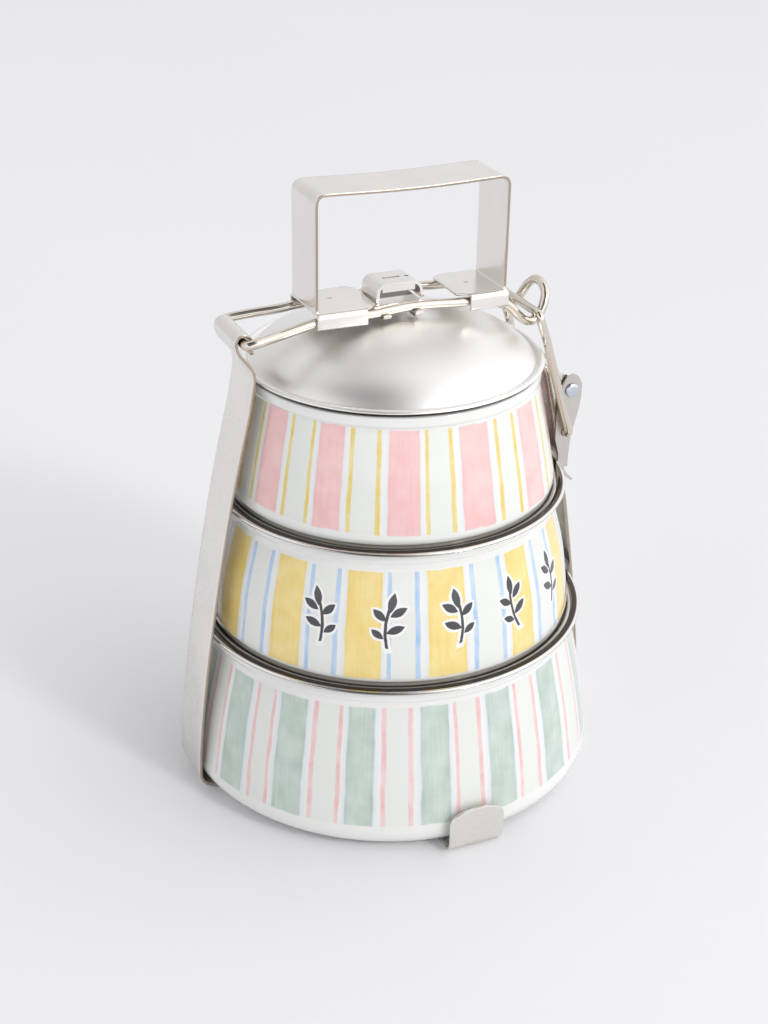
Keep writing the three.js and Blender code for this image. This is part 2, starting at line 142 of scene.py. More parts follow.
class Finish:
    """A material being built: its shader, its Object coordinates and a way to add nodes."""

    def __init__(self, name, metallic=0.0, roughness=0.3, color=(0.8, 0.8, 0.8), coat=0.0):
        self.material = bpy.data.materials.new(name)
        self.material.use_nodes = True
        self.tree = self.material.node_tree
        self.shader = self.tree.nodes["Principled BSDF"]
        self.shader.inputs["Metallic"].default_value = metallic
        self.shader.inputs["Roughness"].default_value = roughness
        self.shader.inputs["Base Color"].default_value = (*color, 1)
        self.shader.inputs["Coat Weight"].default_value = coat
        self.place = self.node("ShaderNodeTexCoord").outputs["Object"]
        parts = self.node("ShaderNodeSeparateXYZ", {"Vector": self.place})
        self.x, self.y, self.z = (Value(self.tree, out) * 1000 for out in parts.outputs)

    def node(self, kind, inputs=None, **settings):
        """A node of that type, with its settings and the values or links of its sockets."""
        node = self.tree.nodes.new(kind)
        for key, item in settings.items():
            setattr(node, key, item)
        for key, item in (inputs or {}).items():
            if isinstance(item, Value):
                self.tree.links.new(item.socket, node.inputs[key])
            elif isinstance(item, bpy.types.NodeSocket):
                self.tree.links.new(item, node.inputs[key])
            else:
                node.inputs[key].default_value = item
        return node

    def point(self, x, y, z):
        """A vector of three values."""
        return self.node("ShaderNodeCombineXYZ", {"X": x, "Y": y, "Z": z}).outputs[0]

    def noise(self, scale, stretch=(1, 1, 1), detail=2.0, roughness=0.5, at=None, shift=0.0):
        """Noise from 0 to 1 over the object, in bumps of about 1/scale millimetres."""
        source = self.place if at is None else at
        factor = 1000 * scale if at is None else scale
        mapping = self.node(
            "ShaderNodeMapping",
            {
                "Vector": source,
                "Location": (shift, shift * 0.7, shift * 0.3),
                "Scale": tuple(factor * s for s in stretch),
            },
        )
        node = self.node(
            "ShaderNodeTexNoise",
            {"Vector": mapping.outputs[0], "Scale": 1.0, "Detail": detail, "Roughness": roughness},
        )
        return Value(self.tree, node.outputs[0])

    def mix(self, factor, a, b):
        """Colour a where factor is 0 and b where it is 1."""
        node = self.tree.nodes.new("ShaderNodeMix")
        node.data_type = "RGBA"
        for slot, item in zip((node.inputs[0], node.inputs[6], node.inputs[7]), (factor, a, b)):
            if isinstance(item, Value):
                self.tree.links.new(item.socket, slot)
            elif isinstance(item, bpy.types.NodeSocket):
                self.tree.links.new(item, slot)
            elif isinstance(item, tuple):
                slot.default_value = (*item, 1)
            else:
                slot.default_value = item
        return node.outputs[2]

    def feed(self, name, value):
        """Links a value or colour to one of the shader's sockets."""
        socket = value.socket if isinstance(value, Value) else value
        self.tree.links.new(socket, self.shader.inputs[name])

    def bump(self, height, strength, distance):
        """Height as a bump on the shader's normal, distance in millimetres."""
        node = self.node(
            "ShaderNodeBump",
            {"Strength": strength, "Distance": distance * MM, "Height": height},
        )
        self.tree.links.new(node.outputs[0], self.shader.inputs["Normal"])


# ------------------------------------------------------------------ meshes from grids
def grid_mesh(name, points, closed=True):
    """A mesh over a grid of points (rows, columns, xyz) in millimetres: each cell is one
    quad, the last column joins the first on a closed one, and equal points merge at poles."""
    rows, columns, _ = points.shape
    index = np.arange(rows * columns).reshape(rows, columns)
    if closed:
        index = np.hstack([index, index[:, :1]])
    quads = np.stack([index[:-1, :-1], index[1:, :-1], index[1:, 1:], index[:-1, 1:]], -1)
    mesh = bpy.data.meshes.new(name)
    mesh.from_pydata((points.reshape(-1, 3) * MM).tolist(), [], quads.reshape(-1, 4).tolist())
    return finish_mesh(name, mesh)


def finish_mesh(name, mesh):
    """Merges equal points, turns faces outwards, shades smooth and makes the object."""
    work = bmesh.new()
    work.from_mesh(mesh)
    bmesh.ops.remove_doubles(work, verts=work.verts, dist=2e-6)
    bmesh.ops.recalc_face_normals(work, faces=work.faces)
    work.to_mesh(mesh)
    work.free()
    mesh.shade_smooth()
    piece = bpy.data.objects.new(name, mesh)
    bpy.context.collection.objects.link(piece)
    return piece


def joined(name, pieces):
    """One object that holds the meshes of several."""
    work = bmesh.new()
    for piece in pieces:
        work.from_mesh(piece.data)
        bpy.data.objects.remove(piece)
    mesh = bpy.data.meshes.new(name)
    work.to_mesh(mesh)
    work.free()
    mesh.shade_smooth()
    piece = bpy.data.objects.new(name, mesh)
    bpy.context.collection.objects.link(piece)
    return piece


def rounded(points, reach, steps=8):
    """A polyline with each inner corner replaced by a bend: the quadratic curve
    a (1 - t)^2 + corner 2t (1 - t) + b t^2, where a and b lie the given reach before and
    after the corner."""
    points = np.asarray(points, float)
    reach = np.broadcast_to(reach, len(points) - 2)
    out = [points[:1]]
    t = np.linspace(0, 1, steps + 1)[:, None]
    for before, corner, after, r in zip(points, points[1:], points[2:], reach):
        a = corner + (before - corner) * min(0.499, r / np.linalg.norm(before - corner))
        b = corner + (after - corner) * min(0.499, r / np.linalg.norm(after - corner))
        out.append(a * (1 - t) ** 2 + corner * 2 * t * (1 - t) + b * t**2)
    out.append(points[-1:])
    return np.vstack(out)


def spread(points, count):
    """The same polyline with count points at even distances along it: its coordinates
    are interpolated over the length from its start."""
    steps = np.linalg.norm(np.diff(points, axis=0), axis=1)
    along = np.concatenate([[0], np.cumsum(steps)])
    keep = np.concatenate([[True], np.diff(along) > 1e-9])
    at = np.linspace(0, along[-1], count)
    return np.stack([np.interp(at, along[keep], column[keep]) for column in points.T], -1)


def smooth_curve(points, count):
    """A centripetal Catmull-Rom curve through points, evenly spaced: each span is blended
    from its four neighbours by their square-root distances."""
    p = np.asarray(points, float)
    p = np.vstack([2 * p[0] - p[1], p, 2 * p[-1] - p[-2]])
    spans = []
    t = np.linspace(0, 1, 25)[:, None]
    for a, b, c, d in zip(p, p[1:], p[2:], p[3:]):
        ka, kb, kc = (np.linalg.norm(v) ** 0.5 for v in (b - a, c - b, d - c))
        tb, tc, td = ka, ka + kb, ka + kb + kc
        at = tb + (tc - tb) * t
        ab = a * (tb - at) / tb + b * at / tb
        bc = b * (tc - at) / (tc - tb) + c * (at - tb) / (tc - tb)
        cd = c * (td - at) / (td - tc) + d * (at - tc) / (td - tc)
        abc = ab * (tc - at) / tc + bc * at / tc
        bcd = bc * (td - at) / (td - tb) + cd * (at - tb) / (td - tb)
        spans.append((abc * (tc - at) + bcd * (at - tb)) / (tc - tb))
    return spread(np.vstack(spans), count)


def turned(name, profile, sides=ROUND):
    """A profile of [radius, height] points turned about Z: x = r cos a, y = r sin a, z = h."""
    profile = np.asarray(profile, float)
    angle = np.linspace(0, 2 * math.pi, sides, endpoint=False)
    r = np.maximum(profile[:, :1], 0)
    points = np.stack([r * np.cos(angle), r * np.sin(angle), profile[:, 1:] + 0 * angle], -1)
    return grid_mesh(name, points)


def strip(name, line, low, high, thickness, edge=0.4, plane="XZ"):
    """Sheet metal bent along a line in a plane: a section thickness by (high - low) with
    rounded edges is carried along the line. Point (i, j) is line_i + normal_i n_j in the
    plane and middle_i + s_j (reach_i - edge) + d_j across it, where the normal points to
    the right of the line's direction and low and high may vary along the line."""
    line = np.asarray(line, float)
    tangent = np.gradient(line, axis=0)
    tangent /= np.linalg.norm(tangent, axis=1)[:, None]
    normal = np.stack([tangent[:, 1], -tangent[:, 0]], -1)
    low = np.broadcast_to(low, len(line)).astype(float)
    high = np.broadcast_to(high, len(line)).astype(float)
    middle = (low + high) / 2
    reach = np.maximum((high - low) / 2 - edge, 0)
    turn = np.linspace(0, math.pi / 2, 4)
    c, s = np.cos(turn), np.sin(turn)
    face = np.linspace(-1, 1, 9)[1:-1]
    deep = thickness - edge
    n = np.concatenate([0 * face, edge - edge * c, deep + edge * s, 0 * face + thickness,
                        deep + edge * c, edge - edge * s])
    side = np.concatenate([-face, -np.ones(8), face, np.ones(8)])
    d = np.concatenate([0 * face, -edge * s, -edge * c, 0 * face, edge * s, edge * c])
    across = middle[:, None] + reach[:, None] * side + d * np.minimum(1, reach / edge)[:, None]
    flat = line[:, None] + normal[:, None] * n[None, :, None]
    if plane == "XZ":
        grid = np.stack([flat[..., 0], across, flat[..., 1]], -1)
    else:
        grid = np.stack([across, flat[..., 0], flat[..., 1]], -1)
    first = grid[:1].mean(1, keepdims=True) + 0 * grid[:1]
    last = grid[-1:].mean(1, keepdims=True) + 0 * grid[-1:]
    return grid_mesh(name, np.vstack([first, grid, last]))


def tube(name, path, radius, sides=24):
    """Round wire along a path: circles of the radius in planes across it, each frame carried
    from the one before without twist, closed by a small dome at both ends."""
    path = np.asarray(path, float)
    tangent = np.gradient(path, axis=0)
    tangent /= np.linalg.norm(tangent, axis=1)[:, None]
    side = np.zeros_like(path)
    seed = np.cross(tangent[0], (0, 0, 1.0))
    side[0] = seed / np.linalg.norm(seed)
    for i in range(1, len(path)):
        carried = side[i - 1] - tangent[i] * np.dot(side[i - 1], tangent[i])
        side[i] = carried / np.linalg.norm(carried)
    up = np.cross(tangent, side)
    cap = np.array([0.0, 0.5, 0.85])
    rise = np.array([0.45, 0.36, 0.18])
    radii = np.concatenate([cap, np.ones(len(path)), cap[::-1]]) * radius
    shift = np.concatenate([rise, np.zeros(len(path)), rise[::-1]]) * radius
    pick = np.concatenate([[0, 0, 0], np.arange(len(path)), [-1, -1, -1]]).astype(int)
    signs = np.concatenate([[-1] * 3, np.zeros(len(path)), [1] * 3])
    centre = path[pick] + tangent[pick] * (shift * signs)[:, None]
    angle = np.linspace(0, 2 * math.pi, sides, endpoint=False)
    across, along = np.cos(angle)[None, :, None], np.sin(angle)[None, :, None]
    ring = side[pick][:, None] * across + up[pick][:, None] * along
    return grid_mesh(name, centre[:, None] + ring * radii[:, None, None])


def arc(centre, radius, start, stop, steps):
    """Points on a circle from one angle a to another, in degrees:
    (x + radius cos a, y + radius sin a)."""
    a = np.radians(np.linspace(start, stop, steps + 1))
    return np.stack([centre[0] + radius * np.cos(a), centre[1] + radius * np.sin(a)], -1)


def place(piece, body, finish, *nodes):
    """Rides the piece on a body, gives it a finish and lets it stand for CAD nodes."""
    piece.data.materials.clear()
    piece.data.materials.append(finish.material)
    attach(piece, body)
    if nodes:
        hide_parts(*nodes)
    return piece


# ------------------------------------------------------------------ finishes
def rgb(red, green, blue):
    """A screen colour, 0 to 255, as linear light."""
    return tuple(
        (c / 12.92 if c <= 0.04045 else ((c + 0.055) / 1.055) ** 2.4)
        for c in (red / 255, green / 255, blue / 255)
    )


def plated(name, tone, roughness, grain, stretch, marks=0.5, cut_edge=None):
    """Nickel-plated steel: fine grain lines, soft clouds of shine and a few rubbed spots.
    Further than cut_edge millimetres from the middle in Y, the sheared edge is browner."""
    finish = Finish(name, metallic=1.0, roughness=roughness, color=tone)
    fine = finish.noise(grain, stretch, detail=3.0, roughness=0.6)
    clouds = finish.noise(0.03, detail=3.0, shift=4.0)
    spots = finish.noise(0.9, detail=1.0, shift=9.0).band(0.66, 0.72) * marks
    finish.feed("Roughness", (fine - 0.5) * 0.06 + (clouds - 0.5) * 0.12 + spots * 0.06 + roughness)
    dull = tuple(c * 0.9 for c in tone)
    shine = (clouds * 0.7 + fine * 0.3).band(0.35, 0.75)
    color = finish.mix(shine, dull, tone)
    if cut_edge:
        sheared = abs(finish.y).band(cut_edge, cut_edge + 0.12) * 0.85
        color = finish.mix(sheared, color, rgb(168, 148, 130))
    finish.feed("Base Color", color)
    finish.bump(fine + clouds * 3.0, 0.05, 0.03)
    return finish


def overlay(finish, factor, color):
    """Lays a colour over a finish's own colour where factor is 1."""
    under = finish.shader.inputs["Base Color"].links[0].from_socket
    finish.feed("Base Color", finish.mix(factor, under, color))


def weld_mark(finish, x, y):
    """1 in a round spot about a spot weld seen from above, 0 outside it."""
    away_x, away_y = finish.x - x, finish.y - y
    return (away_x * away_x + away_y * away_y).math("SQRT").band(1.3, 0.8)


SATIN_TONE = rgb(240, 236, 231)
strap_finish = plated("satin_strap", SATIN_TONE, 0.27, 1.4, (1.0, 1.0, 0.04), cut_edge=STRAP_HALF - 0.2)
base_finish = plated("satin_cross_strap", SATIN_TONE, 0.25, 1.4, (1.0, 0.06, 0.06))
clip_finish = plated("satin_clip", rgb(240, 236, 232), 0.2, 1.6, (0.3, 1.0, 0.3))
latch_finish = plated("mottled_zinc", rgb(206, 201, 195), 0.36, 0.9, (1.0, 1.0, 0.5), marks=1.0)
rivet_finish = plated("rivet_zinc", rgb(204, 211, 219), 0.26, 0.8, (1.0, 1.0, 1.0), marks=1.0)
wire_finish = plated("drawn_wire", rgb(224, 216, 204), 0.09, 0.8, (0.08, 1.0, 1.0), marks=0.3)

# The handle has a brown spot-weld mark on each foot, and its loop has browner cut edges.
handle_finish = plated("satin_handle", rgb(241, 237, 232), 0.22, 1.2, (0.05, 1.0, 0.05))
on_the_feet = handle_finish.z.band(230, 225)
welds = weld_mark(handle_finish, -26.5, 2.0) + weld_mark(handle_finish, 32.4, 0.0)
overlay(handle_finish, welds * on_the_feet * 0.8, rgb(196, 172, 152))
above_the_feet = handle_finish.z.band(209, 210)
loop_edge = abs(handle_finish.y).band(STRAP_HALF - 0.18, STRAP_HALF - 0.06) * above_the_feet
overlay(handle_finish, loop_edge * 0.85, rgb(160, 140, 122))

# The press plate's top is darkened where the clip bridge shelters it: a painted shadow under the bridge.
plate_finish = plated("satin_press_plate", rgb(240, 236, 232), 0.2, 1.6, (0.3, 1.0, 0.3))
behind_its_front = plate_finish.y.band(-2.6, -1.4)
under_the_bridge = abs(plate_finish.x + 0.4).band(9.4, 8.2)
on_top = plate_finish.z.band(207.0, 207.3)
# painted shadow on the plate's top under the clip bridge
overlay(plate_finish, behind_its_front * under_the_bridge * on_top * 0.9, rgb(74, 62, 52))


def spun_lid(name, roughness, tones, under, shade=None):
    """Polished steel with faint rings from the lathe: the height of the bump depends on the
    distance from the middle, r = sqrt(x^2 + y^2). Below the height under, where the edge
    curls in, it is darkened with painted shade, and between two radii the roll is darkened with a
    painted dark reflection."""
    finish = Finish(name, metallic=1.0, roughness=roughness, color=tones[0])
    r = (finish.x * finish.x + finish.y * finish.y).math("SQRT")
    rings = finish.noise(1.0, at=finish.point(r * 0.9, 0.0, finish.z * 0.2), detail=4.0)
    clouds = finish.noise(0.02, detail=3.0)
    finish.feed("Roughness", (rings - 0.5) * 0.06 + (clouds - 0.5) * 0.08 + roughness)
    color = finish.mix(clouds, *tones)
    if shade:
        low, high = shade
        # painted dark reflection on the roll between the two radii
        painted_dark_reflection = r.band(low, low + 0.5) * r.band(high + 0.5, high)
        color = finish.mix(painted_dark_reflection, color, rgb(70, 64, 58))
    # painted shade in the crevice below the height under, beneath the bead
    painted_crevice_shade = finish.z.band(under + 0.2, under - 0.2)
    finish.feed("Base Color", finish.mix(painted_crevice_shade, color, rgb(58, 50, 42)))
    finish.bump(rings, 0.02, 0.02)
    return finish


DOME_TONES = (rgb(240, 239, 237), rgb(246, 244, 241))
LID_TONES = (rgb(232, 228, 222), rgb(240, 236, 231))
# The dome is darkened below 1.7 mm above the top bowl's rim: painted shade under its bead.
dome_finish = spun_lid("satin_dome", 0.42, DOME_TONES, RIMS["top_bowl"] + 1.7)


def flat_lid_finish(name, node):
    """The finish of a flat lid, with a painted dark reflection on the inner side of its roll."""
    edge = LID_RADII[node]
    return spun_lid(name, 0.06, LID_TONES, LID_TOPS[node] - 0.5, (edge - 3.8, edge - 1.4))


lower_lid_finish = flat_lid_finish("polished_lower_lid", "lower_lid")
middle_lid_finish = flat_lid_finish("polished_middle_lid", "middle_lid")


def phase_warp(finish, angle, marks, repeats, step):
    """Maps the angle round the bowl, in degrees, to stripe count: the listed angles land on
    the listed counts, with straight lines between, and the rest of the turn is even."""
    first_angle, first = marks[0]
    start = first - (first_angle + 180) / step
    node = finish.node("ShaderNodeFloatCurve", {"Value": angle / 360 + 0.5})
    curve = node.mapping.curves[0]
    points = [(0.0, 0.0)]
    points += [((a + 180) / 360, (p - start) / repeats) for a, p in marks]
    points += [(1.0, 1.0)]
    for spot in points[1:-1]:
        curve.points.new(*spot)
    curve.points[0].location = points[0]
    curve.points[-1].location = points[-1]
    for point in curve.points:
        point.handle_type = "VECTOR"
    node.mapping.update()
    return Value(finish.tree, node.outputs[0]) * repeats + start


def painted_bowl(name, bands, lines, marks, repeats, low, high, lean, line_width, sprigs=None):
    """White enamel with hand-brushed stripes: a broad band and two thin lines per repeat.
    The angle round the bowl becomes a stripe count, whose fraction is the part: the band
    covers the part between its two edges, and each line is a hump about its own part."""
    finish = Finish(name, roughness=0.09, color=(0.85, 0.85, 0.84), coat=0.6)
    finish.shader.inputs["Coat Roughness"].default_value = 0.04
    finish.shader.inputs["Specular IOR Level"].default_value = 0.55
    step = 360 / repeats
    angle = finish.y.math("ARCTAN2", finish.x) * (180 / math.pi)
    around = finish.point(angle * 0.25, 0.0, finish.z * 0.08)
    wander = (finish.noise(1.0, at=around, detail=2.0) - 0.5) * 0.9
    bristles = finish.point(angle * 0.9, 0.0, finish.z * 0.55)
    ragged = finish.noise(1.0, at=bristles, detail=3.0) - 0.5
    count = phase_warp(finish, angle + wander + ragged * 0.35, marks, repeats, step)
    part = count.math("FRACT")
    _, left, right, second_line = STRIPE_PARTS
    feather = 0.35 / step
    band = part.band(left - feather, left + feather) * part.band(right + feather, right - feather)
    near_first = abs(part - part.math("ROUND"))
    near_second = abs(part - second_line)
    distance = near_first.least(near_second) * step
    line = distance.band(line_width / 2 + 0.25, line_width / 2 - 0.15)
    near_left = part.band(left - 1.3 / step, left - 0.5 / step)
    near_right = part.band(right + 1.3 / step, right + 0.5 / step)
    halo = near_left * near_right * (1 - band)
    edge = finish.noise(1.0, at=finish.point(angle * 0.22, 3.0, 0.0), detail=1.0)
    top = finish.z - (edge - 0.5) * 1.3 - angle * lean
    inside = top.band(high + 0.4, high - 0.4) * top.band(low - 0.4, low + 0.4)
    streaks = finish.noise(1.0, at=finish.point(angle * 1.6, 0.0, finish.z * 0.05), detail=3.0)
    wash = finish.noise(0.11, detail=3.0, shift=2.0)
    depth = ((streaks - 0.5) * 0.55 + (wash - 0.5) * 1.1 + 0.5).band(0.1, 0.9)
    rim = part.band(left + 1.6 / step, left) + part.band(right - 1.6 / step, right)
    white = finish.mix(finish.noise(0.02, detail=2.0), rgb(241, 242, 238), rgb(244, 244, 242))
    after_second = part.band(second_line - 0.01, second_line + 0.03)
    between = finish.mix(after_second * inside, white, rgb(237, 239, 233))
    paint = finish.mix((depth * 0.8 + rim * 0.25).least(1.0), bands[0], bands[1])
    drawn = finish.mix(depth, lines[0], lines[1])
    color = finish.mix(halo * inside * 0.7, between, rgb(231, 238, 246))
    color = finish.mix(band * inside, color, paint)
    color = finish.mix(line * inside * (depth * 0.3 + 0.7), color, drawn)
    layers = (band + line).least(1.0) * inside
    if sprigs:
        color, layers = sprig_row(finish, angle, color, layers, **sprigs)
    fired = finish.node("ShaderNodeVectorMath", {"Vector": color, "Scale": 0.9}, operation="SCALE")
    finish.feed("Base Color", fired.outputs[0])
    waves = finish.noise(0.06, detail=1.0, shift=7.0)
    finish.feed("Roughness", layers * 0.12 + (waves - 0.5) * 0.04 + 0.09)
    finish.bump(waves * 2.0 + layers * (streaks * 0.25 + 0.3), 0.1, 0.25)
    return finish


# Leaves of a sprig: middle x and y, heading in degrees, length, width.
LEAVES = [
    (0.2, 7.85, 84, 8.4, 3.3), (3.2, 4.6, 38, 7.4, 3.2), (-4.0, 2.4, 146, 7.0, 3.1),
    (3.0, -2.6, 30, 7.6, 3.3), (-3.6, -5.4, 150, 6.2, 2.8),
]


def sprig_row(finish, angle, color, layers, middles, radius, height, tall):
    """Leafy sprigs in charcoal with a white halo, one at each middle angle. The sprig is a
    stem and leaves; a leaf of length L and width W is where W/2 (1 - (2p/L)^2) > |q| in its
    own axes p, q, so that difference is a height d, cut at zero for the leaf and below zero
    for the halo round it."""
    gap = (middles[-1] - middles[0]) / (len(middles) - 1)
    marks = [(a, i + 0.5) for i, a in enumerate(middles)]
    count = phase_warp(finish, angle, marks, 360 / gap, gap)
    index = count.math("FLOOR")
    row = count.band(-0.04, 0.0) * count.band(len(middles) + 0.04, len(middles))
    turn = finish.node("ShaderNodeTexWhiteNoise", {"W": index + 0.5}, noise_dimensions="1D")
    chance = Value(finish.tree, turn.outputs[0])
    mirror = (index * 0.5).math("FRACT").math("SIGN") * 2 - 1
    mm_wide = gap * math.pi / 180 * radius
    wobble = finish.noise(0.35, detail=2.0, shift=5.0) - 0.5
    u = (count.math("FRACT") - 0.5) * mm_wide * mirror + wobble * 0.5
    v = finish.z - height - (chance - 0.5) * 1.4
    tilt = (chance - 0.5) * 0.35
    u, v = u - v * tilt, v + u * tilt
    bend = v * v * 0.018 - 1.0
    stem = 0.62 - abs(u - bend)
    ink = stem.least((v + tall / 2) * 0.6).least((tall / 2 - 3.5 - v) * 0.6)
    for x, y, heading, length, width in LEAVES:
        c, s = math.cos(math.radians(heading)), math.sin(math.radians(heading))
        p = ((u - x) * c + (v - y) * s) * (2 / length)
        q = (v - y) * c - (u - x) * s
        leaf = (1 - p * p) * (width / 2) - abs(q)
        ink = ink.most(leaf)
    halo = ink.band(-1.35, -0.85) * row
    solid = ink.band(-0.12, 0.12) * row
    color = finish.mix(halo, color, rgb(250, 250, 249))
    color = finish.mix(solid, color, finish.mix(wobble + 0.5, rgb(52, 53, 56), rgb(66, 67, 70)))
    return color, layers.most(solid)


def stripe_marks(rows):
    """Stripe edges as (angle, count) pairs, where row i holds the parts of count i."""
    return [(a, i + c) for i, row in enumerate(rows) for a, c in zip(row, STRIPE_PARTS)]


# Where the first line, the band's two edges and the second line lie in one repeat, from 0 to 1,
# and the angles round each bowl, in degrees, at which the painter set the ones in front.
STRIPE_PARTS = (0.0, 0.12, 0.55, 0.67)
TOP_ROWS = [
    (-168.2, -165.6, -155.0, -152.3), (-142.8, -140.4, -130.9, -128.0),
    (-118.2, -114.8, -104.0, -101.6), (-92.4, -89.0, -76.9, -73.1), (-64.0, -60.3, -48.2, -43.1),
]
MIDDLE_ROWS = [
    (-155.1, -152.0, -141.2, -138.9), (-129.9, -127.0, -115.8, -113.9),
    (-105.1, -101.9, -89.6, -86.7), (-76.0, -73.2, -63.5, -59.8), (-49.9, -46.8, -36.3, -33.4),
]
BOTTOM_ROWS = [
    (-167.1, -165.2, -156.6, -153.9), (-147.9, -145.7, -137.1, -134.5),
    (-126.8, -124.8, -117.2, -114.7), (-107.2, -104.4, -96.2, -94.3),
    (-87.0, -84.4, -76.0, -74.0), (-66.7, -63.8, -54.8, -51.4), (-42.2, -40.0, -33.9, -31.0),
]
top_finish = painted_bowl(
    "enamel_pink_stripes",
    bands=(rgb(252, 214, 210), rgb(243, 186, 184)),
    lines=(rgb(243, 219, 112), rgb(234, 201, 70)),
    marks=stripe_marks(TOP_ROWS), repeats=14, lean=-0.02, line_width=1.35,
    low=FLOORS["top_bowl"] + 3, high=RIMS["top_bowl"] - 7.8,
)
middle_finish = painted_bowl(
    "enamel_yellow_stripes",
    bands=(rgb(253, 233, 162), rgb(243, 210, 108)),
    lines=(rgb(192, 218, 247), rgb(166, 201, 241)),
    marks=stripe_marks(MIDDLE_ROWS), repeats=14, lean=0.0, line_width=1.35,
    low=FLOORS["middle_bowl"] + 2.8, high=RIMS["middle_bowl"] - 7.9,
    sprigs={
        "middles": (-135.2, -113.9, -91.9, -72.1, -51.2),
        "radius": 74.0,
        "height": FLOORS["middle_bowl"] + 26,
        "tall": 21.5,
    },
)
bottom_finish = painted_bowl(
    "enamel_green_stripes",
    bands=(rgb(214, 226, 218), rgb(178, 198, 187)),
    lines=(rgb(250, 212, 210), rgb(242, 186, 188)),
    marks=stripe_marks(BOTTOM_ROWS), repeats=18, lean=0.012, line_width=1.05,
    low=FLOORS["bottom_bowl"] + 12.9, high=RIMS["bottom_bowl"] - 5.9,
)


# ------------------------------------------------------------------ bowls and lids
def bowl_profile(node, collar, corner, belly, kick):
    """Radius and height round a bowl wall, from the middle of the underside out, up the
    outside, over the rim and down the inside. The wall is the curve through its widest
    point, its middle, bowed out by belly, and the groove under the collar. An underside
    with a kick is hollow within that radius."""
    floor, rim, widest = FLOORS[node], RIMS[node], WIDEST[node]
    wall, groove, neck, hollow = 1.1, 0.9, rim - 4.8, 1.9
    middle = (widest + collar - groove) / 2 + belly
    bend = arc((widest - corner, floor + corner), corner, -90, -2, 12)
    side = smooth_curve(
        [bend[-1], (middle, (floor + corner + neck) / 2), (collar - groove, neck - 0.9)], 24
    )[1:]
    lip = rounded(
        [side[-1], (collar - groove, neck - 0.2), (collar, neck + 0.9), (collar, rim),
         (collar - 2.2, rim), (collar - 2.2, neck)], (0.5, 0.5, 1.0, 0.6), 5
    )[1:]
    lift = [(0, floor)]
    if kick:
        lift = [(0, floor + hollow), (kick - 2, floor + hollow), (kick, floor)]
    outside = np.vstack([lift, bend, side, lip])
    inner_side = side[::-1][1:] - (wall, 0)
    inner_bend = arc((widest - corner, floor + corner), corner - wall, -2, -90, 12)
    inner_lift = [(r, z + wall) for r, z in lift[::-1]]
    inside = np.vstack([inner_side, inner_bend, inner_lift])
    return np.vstack([outside, inside])


def bead(radius, bottom, height, width):
    """The rolled edge of a lid, width across and height above its bottom, from its inner
    side over the top and round to below: r = radius + (cos a - 1) width / 2 and
    z = middle + tall sin a, with only 0.36 of that depth below the middle."""
    turn = np.radians(np.linspace(168, -75, 28))
    tall = height / 1.35
    drop = np.sin(turn) * np.where(turn > 0, tall, tall * 0.36)
    return np.stack([radius + (np.cos(turn) - 1) * width / 2, bottom + height - tall + drop], -1)


def plug(outside, rim, clear):
    """Radius and height of the short sleeve under a lid that drops into the bowl, from the
    rim inwards: four millimetres deep, with its corners bent over 0.4."""
    return rounded(
        [(outside + 1.6, rim + 0.3), (outside, rim + 0.3), (outside, rim - 4),
         (outside - 0.9, rim - 4), (outside - 0.9, clear), (outside - 3, clear)], 0.4, 3
    )


def flat_lid(node, seat, outside, rim):
    """Radius and height of a flat lid: raised seat, a step down to the bead, which overhangs
    the bowl, and a sleeve underneath."""
    radius, top = LID_RADII[node], LID_TOPS[node]
    bottom = top - 1.5
    ring = top - 0.7
    upper = rounded([(0, top), (seat, top), (seat + 1.5, ring), (radius - 5, ring)], 0.7, 5)
    lower = plug(outside, rim, ring - 0.8)
    return np.vstack([upper, bead(radius, bottom + 0.5, 1.35, 5.4), lower, [(0, ring - 0.8)]])


def dome():
    """Radius and height of the domed lid: with t = r / edge the crown is
    z = apex - rise (0.82 t^2 + 0.18 t^14), which steepens at the shoulder; then a bead."""
    rim, apex, radius = RIMS["top_bowl"], LID_TOPS["dome_lid"], LID_RADII["dome_lid"]
    bottom, height, edge, sheet = rim + 0.5, 2.3, radius - 3.5, 0.9
    shoulder = bottom + height - 1.1
    rise = apex - shoulder
    t = np.concatenate([np.linspace(0, 0.8, 26), np.linspace(0.82, 1, 24)])
    crown = np.stack([t * edge, apex - rise * (0.82 * t**2 + 0.18 * t**14)], -1)
    under = plug(edge - 0.3, rim, shoulder - 1.2)[:-1]
    inner = (crown - (0, sheet + 0.3))[::-1]
    inner = inner[inner[:, 0] < edge - 4.4]
    return np.vstack([crown, bead(radius, bottom + 0.7, height - 0.7, 3.2)[1:], under, inner])


# For each bowl: body, finish, and its collar radius, corner radius, belly and kick radius.
BOWLS = {
    "bottom_bowl": ("carrier", bottom_finish, (80.1, 9, 0.7, 62)),
    "middle_bowl": ("middle_tier", middle_finish, (69.5, 3.2, 1.3, 0)),
    "top_bowl": ("top_tier", top_finish, (61, 3.6, 0.2, 0)),
}
plain_enamel = Finish("plain_enamel", roughness=0.1, coat=0.6)
cloudy = plain_enamel.noise(0.03, detail=2.0)
plain_enamel.feed("Base Color", plain_enamel.mix(cloudy, rgb(228, 229, 226), rgb(234, 234, 232)))
plain_enamel.feed("Roughness", cloudy * 0.06 + 0.07)


def line_inside(piece, finish):
    """Gives a second finish to the faces that look towards the axis or upwards."""
    faces = piece.data.polygons
    normal, centre = np.empty(len(faces) * 3), np.empty(len(faces) * 3)
    faces.foreach_get("normal", normal)
    faces.foreach_get("center", centre)
    normal, centre = normal.reshape(-1, 3), centre.reshape(-1, 3)
    inward = (normal[:, :2] * centre[:, :2]).sum(1) < 0
    piece.data.materials.append(finish.material)
    faces.foreach_set("material_index", (inward | (normal[:, 2] > 0.85)).astype(np.int32))


for node, (body, finish, sizes) in BOWLS.items():
    bowl = place(turned("painted_" + node, bowl_profile(node, *sizes)), body, finish, node)
    line_inside(bowl, plain_enamel)

